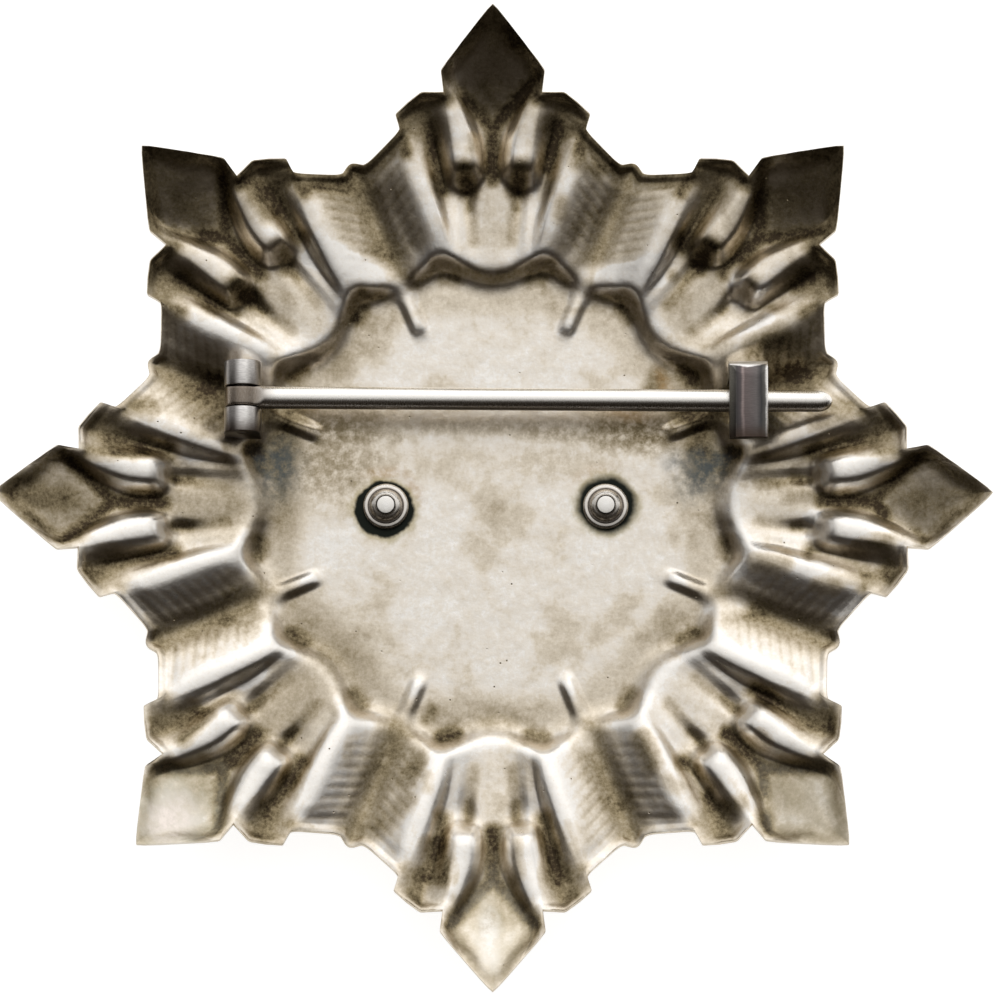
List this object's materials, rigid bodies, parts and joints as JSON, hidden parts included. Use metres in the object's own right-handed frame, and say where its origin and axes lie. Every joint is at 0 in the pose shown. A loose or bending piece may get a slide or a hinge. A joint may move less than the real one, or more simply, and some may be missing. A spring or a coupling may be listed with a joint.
{
  "type": "order breast star",
  "caption": "Long-rayed breast star of an order, stamped hollow, with a round medallion on its front and a hinged brooch pin that shuts in a hook on its back.",
  "frame": {"origin": "middle of the star on the surface that it lies on, under the front medallion", "axes": "+Z out of the hollow back, +X along the brooch pin from its hinge to its point, +Y across the pin toward the arm that lies on the pin's side of the middle"},
  "size_m": [0.0818, 0.0818, 0.0098],
  "materials": {
    "satin_silver": "satin silver, tarnished olive brown in the hollows and finely scratched",
    "bright_silver": "polished silver with fine scratches",
    "collar_silver": "turned silver, dull, with dark tarnish round its foot"
  },
  "bodies": {
    "star_body": {"star": "satin_silver", "hinge_axle": "bright_silver", "front_medallion": "satin_silver", "collar_left": "collar_silver", "collar_right": "collar_silver"},
    "pin_body": {"brooch_pin": "bright_silver"}
  },
  "joints": [
    {"name": "pin_lift", "type": "hinge", "parent": "star_body", "child": "pin_body", "pos_m": [-0.02054, 0.0083, 0.00694], "axis": [0, -1, 0], "range_deg": [0, 110]}
  ]
}
